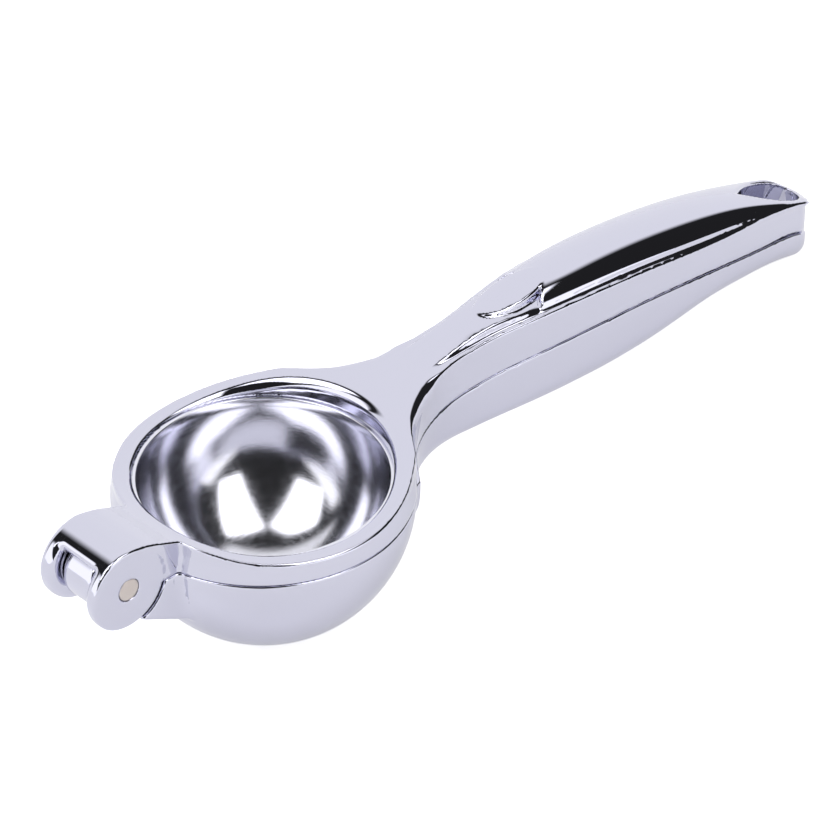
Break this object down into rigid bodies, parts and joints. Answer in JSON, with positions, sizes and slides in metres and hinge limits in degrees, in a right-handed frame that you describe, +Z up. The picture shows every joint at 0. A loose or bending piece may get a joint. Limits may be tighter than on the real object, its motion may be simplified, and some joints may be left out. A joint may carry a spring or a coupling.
{
  "type": "citrus squeezer",
  "caption": "Hand-held citrus squeezer: hinged ring arms, a domed press dish over a drained cup, long closing handles with a hanging hole.",
  "frame": {"origin": "middle of the object's footprint box, on the surface that the cup's foot and the handle's tip stand on", "axes": "+X towards the handle's end, the hinge at -X, +Z up, Y across the handles along the hinge pin"},
  "size_m": [0.2258, 0.0664, 0.049],
  "materials": {
    "upper_chrome": "polished chrome plate on a die casting",
    "lower_chrome": "polished chrome plate on a die casting",
    "satin_steel": "satin pressed stainless steel",
    "pin_steel": "faced steel pin end",
    "washer_steel": "plain steel washer"
  },
  "bodies": {
    "lower": {"lower_arm": "lower_chrome"},
    "upper": {"upper_arm": "upper_chrome", "press_dish": "satin_steel", "hinge_pin": "pin_steel", "hinge_washer_near": "washer_steel", "hinge_washer_far": "washer_steel"}
  },
  "joints": [
    {"name": "arm_hinge", "type": "hinge", "parent": "lower", "child": "upper", "pos_m": [-0.1032, 0, 0.03934], "axis": [0, -1, 0], "range_deg": [0, 120]}
  ]
}
